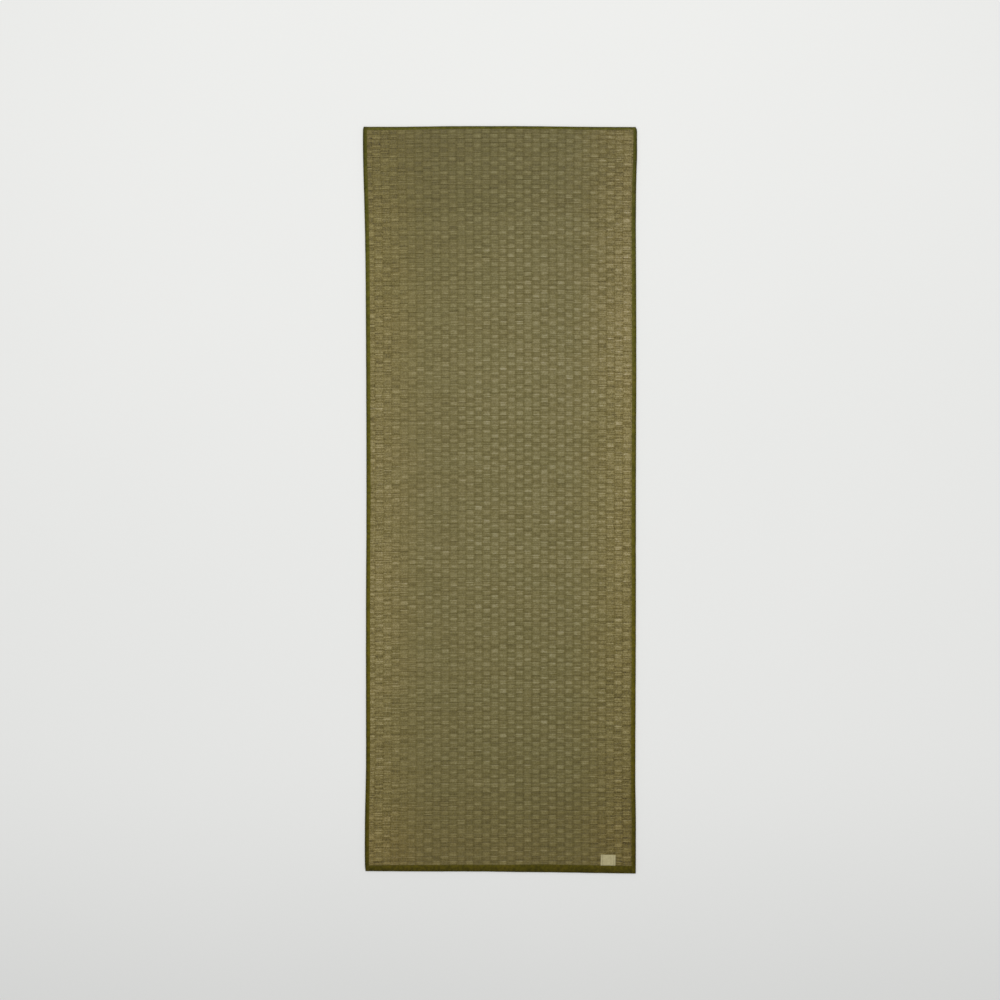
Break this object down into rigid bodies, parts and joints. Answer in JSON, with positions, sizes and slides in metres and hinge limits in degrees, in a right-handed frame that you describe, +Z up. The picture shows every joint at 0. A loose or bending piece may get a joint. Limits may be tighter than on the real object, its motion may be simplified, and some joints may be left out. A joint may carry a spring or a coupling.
{
  "type": "tatami yoga mat",
  "caption": "Long flat exercise mat of checker-woven rush with folded cloth bindings on all four edges and a small plain cloth label near one corner.",
  "frame": {"origin": "on the floor, under the middle of the mat", "axes": "+X across the mat to the right, +Y along the mat to its top end, +Z up, away from the floor"},
  "size_m": [0.6624, 1.805, 0.004],
  "materials": {
    "woven_rush": "matte woven rush, dry greenish straw",
    "binding_cloth": "matte woven cotton tape, dark olive",
    "label_cloth": "matte woven label cloth, cream"
  },
  "bodies": {
    "root": {"rush_mat": "woven_rush", "binding_left": "binding_cloth", "binding_right": "binding_cloth", "binding_top": "binding_cloth", "binding_bottom": "binding_cloth", "label": "label_cloth"}
  },
  "joints": []
}
